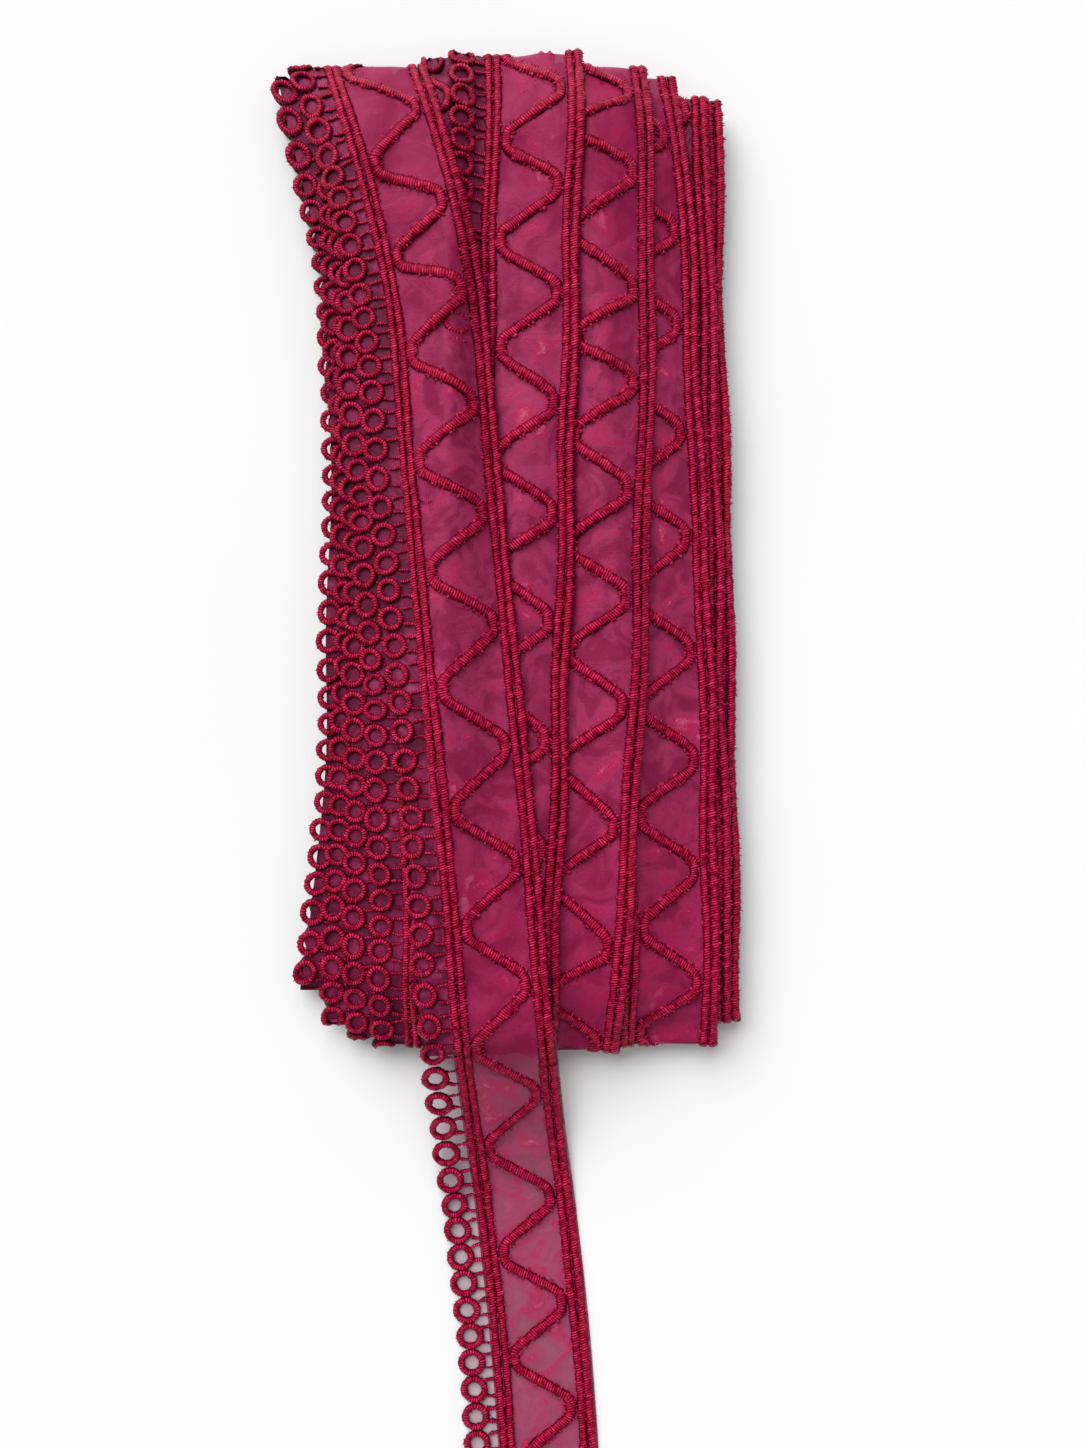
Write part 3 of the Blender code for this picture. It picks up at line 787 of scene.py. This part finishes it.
def zigzag_line(first, last, corners, step):
    """The zigzag's middle as (u, v): straight legs with rounded corners."""
    knots = []
    for right, further in zip(corners[:-1], corners[1:]):
        for u, middle in ((ZIGZAG_RIGHT, right), (ZIGZAG_LEFT, (right + further) / 2)):
            knots.append((u, middle - ZIGZAG_CORNER_RUN / 2))
            knots.append((u, middle + ZIGZAG_CORNER_RUN / 2))
    knots = np.array(knots)
    fine_v = np.arange(knots[0, 1], knots[-1, 1], ZIGZAG_STEP)
    fine_u = np.interp(fine_v, knots[:, 1], knots[:, 0])
    window = np.hanning(ZIGZAG_BLUR)
    fine_u = np.convolve(fine_u, window / window.sum(), mode="same")
    centre = (ZIGZAG_LEFT + ZIGZAG_RIGHT) / 2
    wander, over = ZIGZAG_WANDER
    # Rounding takes a little off the corners, which this gives back
    fine_u = centre + (fine_u - centre) * 1.01 + wander * np.sin(fine_v / over + corners[0])
    keep = (fine_v >= first - ZIGZAG_STEP / 2) & (fine_v <= last + ZIGZAG_STEP / 2)
    fine_u = fine_u[keep]
    fine_v = fine_v[keep]
    runs = np.concatenate(([0.0], np.cumsum(np.hypot(np.diff(fine_u), np.diff(fine_v)))))
    at = np.linspace(0.0, runs[-1], max(2, round(runs[-1] / step)))
    return np.interp(at, runs, fine_u), np.interp(at, runs, fine_v)


def crease(u, v, seed, height):
    """Soft creases in the net, as a sum of a few waves, the longer ones the higher."""
    waves = np.random.default_rng(seed)
    total = np.zeros_like(u)
    for _ in range(CREASE_WAVES):
        length = waves.uniform(*CREASE_LENGTHS)
        way = waves.uniform(-1.2, 1.2)
        phase = waves.uniform(0, 6.28)
        wave = np.sin(2 * np.pi * (u * np.sin(way) + v * np.cos(way)) / length + phase)
        total += wave * length / CREASE_WAVES
    return height * total / 5


def weave_net(piece, band, reach, first, last, cell, seed, height):
    """A strip of net between two places across the band, creased but flat at its edges."""
    rows = max(2, int((last - first) / cell) + 1)
    columns = max(2, int((reach[1] - reach[0]) / cell) + 1)
    v, u = np.meshgrid(
        np.linspace(first, last, rows), np.linspace(*reach, columns), indexing="ij"
    )
    held = np.minimum(1.0, np.minimum(u - reach[0], reach[1] - u) / CREASE_EDGE)
    w = crease(u, v, seed, height) * held
    faces, i, j = grid_faces(rows, columns)
    corners = np.stack((v[i, j], u[i, j]), axis=2)
    piece.add(band.place(u.ravel(), v.ravel(), w.ravel()), faces, corners)


def fill_holes(piece, band, along, half_way):
    """The net in each ring, from the edge of the strip beside the rings outward."""
    inset = RING_ROW - RING_NET[0]
    start = np.arccos(-inset / half_way)
    fan = np.linspace(start, 2 * np.pi - start, HOLE_POINTS)
    faces = np.array([[0, k, k + 1] for k in range(1, HOLE_POINTS)])
    for v in along:
        u = RING_ROW + np.append(-inset, half_way * np.cos(fan))
        vs = v + np.append(0.0, half_way * np.sin(fan))
        corners = np.stack((vs[faces], u[faces]), axis=2)
        piece.add(band.place(u, vs, np.zeros(len(u))), faces, corners)


def stitch_length(pieces, band, first, last, pattern, work, seed, rings_from=math.inf, filled=True):
    """All the needlework of one length of the band.

    The rings from a v on show, and get bars. Where a length is filled, its holes hold net.
    """
    corners, marks, ring_size, plain_edge = pattern
    detail = WORK[work]
    cut_end = first == 0.0
    wander, over = CORD_WANDER
    straight = np.linspace(first, last, round((last - first) / detail["step"]) + 1)
    for number, (middle, width, uneven, lean) in enumerate(CORDS):
        u = middle + wander * np.sin(straight / over + seed + middle)
        stitch_cord(
            pieces["cords"], band, u, straight, width, CORD_RISE, detail["sides"], uneven, lean, cut_end
        )
        if work == "fine" or (work == "plain" and number < 2):
            fray_edges(pieces["frays"], band, u, straight, width, *CORD_FRAYS)
    u, v = zigzag_line(first, last, corners, detail["zigzag"])
    stitch_cord(
        pieces["zigzag"], band, u, v, ZIGZAG_WIDTH, ZIGZAG_RISE, detail["sides"], 0.1, 0.25, cut_end
    )
    if work == "fine":
        fray_edges(pieces["frays"], band, u, v, ZIGZAG_WIDTH, *ZIGZAG_FRAYS)
    every_ring = np.arange(RINGS_PER_REPEAT * (len(marks) - 1)) / RINGS_PER_REPEAT
    along = np.interp(every_ring, np.arange(len(marks)), marks)
    begin = max(first, ring_size[0] / 2)
    stop = min(last, band.length - ring_size[0] / 2)
    along = along[(along >= begin) & (along < stop)]
    shown = along[along >= rings_from]
    unseen = along[along < rings_from]
    stitch_rings(pieces["rings"], pieces["frays"], band, shown, "fine", ring_size)
    stitch_rings(pieces["rings"], pieces["frays"], band, unseen, "coarse", ring_size)
    stitch_bars(pieces["bars"], band, shown)
    panel = (PANEL_NET_FROM, plain_edge)
    weave_net(pieces["net"], band, panel, first, last, detail["net"], seed, CREASE)
    weave_net(pieces["ring_net"], band, RING_NET, first, last, detail["net"], seed, 0.0)
    if work != "coarse" and filled:
        fill_holes(pieces["ring_net"], band, along, (ring_size[0] - ring_size[1]) / 2)


def linear(hex_colour):
    """An sRGB hex colour as linear RGBA."""
    values = [int(hex_colour[i:i + 2], 16) / 255 for i in (1, 3, 5)]
    return (*[c / 12.92 if c <= 0.04045 else ((c + 0.055) / 1.055) ** 2.4 for c in values], 1.0)


def add_node(tree, kind, inputs=None, stops=(), **settings):
    """Add a shader node with its settings, values and links, and with a ramp's stops."""
    made = tree.nodes.new(kind)
    for name, value in settings.items():
        setattr(made, name, value)
    for name, value in (inputs or {}).items():
        if isinstance(value, bpy.types.NodeSocket):
            tree.links.new(value, made.inputs[name])
        else:
            made.inputs[name].default_value = value
    if stops:
        elements = made.color_ramp.elements
        while len(elements) < len(stops):
            elements.new(0.5)
        for element, (position, colour) in zip(elements, stops):
            element.position = position
            element.color = linear(colour)
    return made


def new_material(name):
    """An empty material and its node tree."""
    material = bpy.data.materials.new(name)
    material.use_nodes = True
    tree = material.node_tree
    tree.nodes.clear()
    return material, tree


def scale_for(size, unit=MM):
    """The scale of a texture whose features have a size in millimetres. The texture's own
    coordinates are in metres, or in millimetres with a unit of 1.
    """
    return 1 / (size * unit)


def satin_stitch(name, stitch):
    """Lustrous polyester embroidery thread in machine satin stitch.

    It gives the eye fine ridges across each cord, dark crimson painted shade between the stitches
    and at the sides of each cord, and a rosy gleam where they face the light, partly real and partly
    a painted highlight along each cord's crown.
    """
    material, tree = new_material(name)
    place = add_node(tree, "ShaderNodeUVMap", uv_map="stitches")
    ridges = add_node(
        tree,
        "ShaderNodeTexWave",
        {
            "Vector": place.outputs["UV"],
            # At a scale of 1 the wave repeats every pi / 10
            "Scale": math.pi / 10 / stitch,
            "Distortion": 3.0,
            "Detail": 2.0,
            "Detail Scale": 1.5,
        },
        bands_direction="X",
    )
    here = add_node(tree, "ShaderNodeNewGeometry")
    patches = add_node(
        tree,
        "ShaderNodeTexNoise",
        {
            "Vector": here.outputs["Position"],
            "Scale": scale_for(TENSION_PATCH),
            "Detail": 3.0,
            "Roughness": 0.65,
        },
    )
    raised = add_node(
        tree, "ShaderNodeMath", {0: ridges.outputs["Fac"], 1: 0.36, 2: 0.45}, operation="MULTIPLY_ADD"
    )
    tension = add_node(
        tree, "ShaderNodeMath", {0: patches.outputs["Fac"], 1: 0.75, 2: 0.13}, operation="MULTIPLY_ADD"
    )
    threads = add_node(
        tree,
        "ShaderNodeMath",
        {0: raised.outputs["Value"], 1: tension.outputs["Value"]},
        operation="MULTIPLY",
    )
    split = add_node(tree, "ShaderNodeSeparateXYZ", {"Vector": place.outputs["UV"]})
    around = add_node(
        tree, "ShaderNodeMath", {0: split.outputs["Y"], 1: 0.5}, operation="PINGPONG"
    )
    past_side = add_node(
        tree, "ShaderNodeMath", {0: around.outputs["Value"], 1: 0.2}, operation="SUBTRACT"
    )
    from_side = add_node(
        tree, "ShaderNodeMath", {0: past_side.outputs["Value"]}, operation="ABSOLUTE"
    )
    # Painted shade makes a tube darkest just below its sides, and a painted highlight makes it lightest
    # at its crown
    painted_crown_light = add_node(
        tree,
        "ShaderNodeMapRange",
        {"Value": from_side.outputs["Value"], "From Max": 0.22, "To Min": 0.1, "To Max": 0.51},
    )
    painted_light_and_tone = add_node(
        tree,
        "ShaderNodeMath",
        {0: threads.outputs["Value"], 1: painted_crown_light.outputs["Result"]},
        operation="MULTIPLY",
    )
    # The ramp paints the shade between the stitches and at the tube's sides dark crimson, and its crown
    # a painted highlight
    ramp = add_node(
        tree,
        "ShaderNodeValToRGB",
        {"Fac": painted_light_and_tone.outputs["Value"]},
        stops=((0.05, "#140002"), (0.105, "#66001A"), (0.17, "#9A0230"), (0.25, "#EC3C6C")),
    )
    bump = add_node(
        tree,
        "ShaderNodeBump",
        {"Height": threads.outputs["Value"], "Strength": 1.0, "Distance": STITCH_BUMP},
    )
    shader = add_node(
        tree,
        "ShaderNodeBsdfPrincipled",
        {
            "Base Color": ramp.outputs["Color"],
            "Roughness": 0.34,
            "Specular IOR Level": 0.45,
            "Specular Tint": linear("#F0527C"),
            "Normal": bump.outputs["Normal"],
        },
    )
    add_node(tree, "ShaderNodeOutputMaterial", {"Surface": shader.outputs["BSDF"]})
    return material


# How tightly the net is pulled on the turns below it, from one end of the hank to the other
TIGHT_ALONG = (
    (0.017, "#000000"),
    (0.04, "#BCBCBC"),
    (0.15, "#A8A8A8"),
    (0.32, "#000000"),
    (0.66, "#000000"),
    (0.86, "#D0D0D0"),
)


def organza(name, stops, cover, cover_spread=0.0, tight=None):
    """Sheer polyester organza, plain woven.

    It gives the eye a watered, cloudy colour, its palest clouds partly a painted sheen, with pale
    wisps of painted sheen along its crinkles, a crisp fine grain, and what lies under it showing
    faintly through. Near the folds, where it is pulled tight on the turns below, it has a deeper
    colour of its own if one is given.
    """
    material, tree = new_material(name)
    place = add_node(tree, "ShaderNodeUVMap", uv_map="stitches")
    here = add_node(tree, "ShaderNodeNewGeometry")
    clouds = add_node(
        tree,
        "ShaderNodeTexNoise",
        {
            "Vector": here.outputs["Position"],
            "Scale": scale_for(CLOUD),
            "Detail": 3.0,
            "Roughness": 0.5,
            "Distortion": 1.2,
        },
    )
    sheen_wisps = add_node(
        tree,
        "ShaderNodeTexNoise",
        {
            "Vector": here.outputs["Position"],
            "Scale": scale_for(SHEEN_WISP),
            "Detail": 4.0,
            "Roughness": 0.5,
            "Distortion": 1.5,
        },
        noise_type="RIDGED_MULTIFRACTAL",
    )
    grain = add_node(
        tree,
        "ShaderNodeTexNoise",
        {
            "Vector": place.outputs["UV"],
            "Scale": scale_for(GRAIN, unit=1),
            "Detail": 2.0,
            "Roughness": 0.7,
        },
    )
    painted_light_and_tone = add_node(
        tree,
        "ShaderNodeMath",
        {0: sheen_wisps.outputs["Fac"], 1: 0.25, 2: clouds.outputs["Fac"]},
        operation="MULTIPLY_ADD",
    )
    speckled = add_node(
        tree,
        "ShaderNodeMath",
        {0: grain.outputs["Fac"], 1: 0.36, 2: painted_light_and_tone.outputs["Value"]},
        operation="MULTIPLY_ADD",
    )
    # The pale end of the ramp, where the wisps and the lightest clouds reach, is a painted sheen; the
    # rest is the net's own watered colour
    ramp = add_node(
        tree, "ShaderNodeValToRGB", {"Fac": speckled.outputs["Value"]}, stops=stops
    )
    bump = add_node(
        tree,
        "ShaderNodeBump",
        {"Height": speckled.outputs["Value"], "Strength": 0.6, "Distance": NET_BUMP},
    )
    colour = ramp.outputs["Color"]
    if tight:
        spot = add_node(tree, "ShaderNodeSeparateXYZ", {"Vector": here.outputs["Position"]})
        along = add_node(
            tree,
            "ShaderNodeMapRange",
            {"Value": spot.outputs["Y"], "From Min": -0.15, "From Max": 0.15},
        )
        pulled = add_node(
            tree, "ShaderNodeValToRGB", {"Fac": along.outputs["Result"]}, stops=TIGHT_ALONG
        )
        # A mix of colours has its factor at 0, the colours at 6 and 7, and its result at 2
        deepened = add_node(
            tree,
            "ShaderNodeMix",
            {0: pulled.outputs["Color"], 6: colour, 7: linear(tight)},
            data_type="RGBA",
        )
        colour = deepened.outputs[2]
    values = {
        "Base Color": colour,
        "Roughness": 0.42,
        "Specular IOR Level": 0.4,
        "Specular Tint": linear("#E59AB4"),
        "Normal": bump.outputs["Normal"],
    }
    if cover < 1:
        solid = add_node(
            tree,
            "ShaderNodeMapRange",
            {
                "Value": clouds.outputs["Fac"],
                "From Min": 0.35,
                "From Max": 0.65,
                "To Min": cover - cover_spread,
                "To Max": cover + cover_spread,
            },
        )
        values["Alpha"] = solid.outputs["Result"]
    shader = add_node(tree, "ShaderNodeBsdfPrincipled", values)
    add_node(tree, "ShaderNodeOutputMaterial", {"Surface": shader.outputs["BSDF"]})
    return material


def white_laminate():
    """A matt white laminate table: nearly even, with a faint soft mottle."""
    material, tree = new_material("matt_white_laminate")
    here = add_node(tree, "ShaderNodeNewGeometry")
    mottle = add_node(
        tree, "ShaderNodeTexNoise", {"Vector": here.outputs["Position"], "Scale": scale_for(MOTTLE)}
    )
    ramp = add_node(
        tree,
        "ShaderNodeValToRGB",
        {"Fac": mottle.outputs["Fac"]},
        stops=((0.3, "#F7F7F7"), (0.7, "#F9F9F9")),
    )
    shader = add_node(
        tree,
        "ShaderNodeBsdfPrincipled",
        {"Base Color": ramp.outputs["Color"], "Roughness": 0.85, "Specular IOR Level": 0.2},
    )
    add_node(tree, "ShaderNodeOutputMaterial", {"Surface": shader.outputs["BSDF"]})
    return material


def build_trim():
    """Lay and stitch every turn, and gather the lengths in four groups."""
    heap = Heap()
    satin = satin_stitch("polyester_satin_stitch", STITCH)
    over_turns = organza(
        "polyester_organza_over_turns",
        ((0.6, "#982050"), (0.74, "#AC3464"), (0.86, "#B41A4E"), (1.0, "#D4608C")),
        cover=0.8,
        cover_spread=0.08,
        tight="#A00A4A",
    )
    lined = organza(
        "polyester_organza_layered",
        ((0.58, "#560E2A"), (0.78, "#821C46"), (0.95, "#A03C68")),
        cover=1.0,
    )
    at_rings = organza(
        "polyester_organza_at_rings",
        ((0.5, "#94305C"), (0.7, "#95204F"), (0.9, "#9C2A58")),
        cover=0.33,
        cover_spread=0.06,
    )

    kinds = ("cords", "zigzag", "rings", "bars", "frays", "net", "ring_net")
    groups = {}
    for group in ("top", "turns", "back", "loose"):
        groups[group] = {kind: Piece(f"{group}_{kind}") for kind in kinds}
    lengths = dict.fromkeys(groups, 0.0)

    for number, (name, turn) in enumerate(TURNS.items()):
        band = lay_turn(heap, name)
        split = band.fold + FRONT_PAST_FOLD
        known_corners = CORNERS.get(name, (turn.corner,))
        corners = repeats_along(band, known_corners, turn.repeat, ZIGZAG_RIGHT)
        marks = corners + turn.repeat / RINGS_PER_REPEAT / 2
        if name in RING_MARKS:
            marks = repeats_along(band, RING_MARKS[name], turn.repeat, RING_ROW)
        pattern = (corners, marks, WOUND_RINGS, WOUND_EDGE)
        first = 0.0
        if name == LAST_TURN:
            first = band.run_at(LOOSE_FROM_Y)
            loose = (corners, marks, LOOSE_RINGS, LOOSE_EDGE)
            stitch_length(groups["loose"], band, 0.0, first, loose, "fine", number, 0.0)
            lengths["loose"] = first
        rings_from = math.inf if turn.rings_show == HIDDEN else band.run_at(turn.rings_show)
        filled = name != OPEN_RINGS
        group = "top" if name in SHOWN_ON_TOP else "turns"
        stitch_length(
            groups[group], band, first, split, pattern, turn.work, number, rings_from, filled
        )
        stitch_length(
            groups["back"], band, split, band.length, pattern, "coarse", number + BACK_SEED
        )
        lengths[group] += split - first
        lengths["back"] += band.length - split

    for group, pieces in groups.items():
        node = "loose_end" if group == "loose" else "hank"
        stitching = [
            pieces[kind].make(satin, node, "satin_thread")
            for kind in ("cords", "zigzag", "rings", "bars", "frays")
            if pieces[kind].count
        ]
        net_finish = over_turns if group in ("top", "loose") else lined
        ring_finish = at_rings if group == "loose" else lined
        net = pieces["net"].make(net_finish, node, "organza")
        stitching.append(pieces["ring_net"].make(ring_finish, node, "organza"))


def light_and_camera():
    """Soft window light from the upper left, and the camera straight above."""
    world = bpy.data.worlds.new("studio")
    world.use_nodes = True
    sky = world.node_tree.nodes["Background"]
    sky.inputs["Color"].default_value = (1.0, 1.0, 1.0, 1.0)
    sky.inputs["Strength"].default_value = ROOM_LIGHT
    bpy.context.scene.world = world

    lamp = bpy.data.lights.new("soft_window", "SUN")
    lamp.angle = math.radians(WINDOW_SPREAD)
    lamp.energy = WINDOW_LIGHT
    key = bpy.data.objects.new("soft_window", lamp)
    key.location = WINDOW_AT
    key.rotation_euler = (-key.location).to_track_quat("-Z", "Y").to_euler()
    bpy.context.scene.collection.objects.link(key)

    eye = bpy.data.cameras.new("from_above")
    eye.sensor_fit = "VERTICAL"
    eye.sensor_height = SENSOR
    half_frame = PHOTO_HEIGHT / 2 * MM_PER_PIXEL
    eye.lens = SENSOR / 2 * CAMERA_ABOVE_TOP / half_frame
    eye.clip_start = 0.01
    camera = bpy.data.objects.new("from_above", eye)
    camera.location = Vector((*CAMERA_XY, TOP_FACE + CAMERA_ABOVE_TOP)) * MM
    bpy.context.scene.collection.objects.link(camera)
    bpy.context.scene.camera = camera
    bpy.context.scene.view_settings.view_transform = "Standard"


def make_table():
    """The plain pale surface that the hank lies on."""
    bpy.ops.mesh.primitive_plane_add(size=TABLE_SIZE, location=(0, 0, 0))
    table = bpy.context.object
    table.name = "table_top"
    table.data.materials.append(white_laminate())


build_trim()
light_and_camera()
make_table()
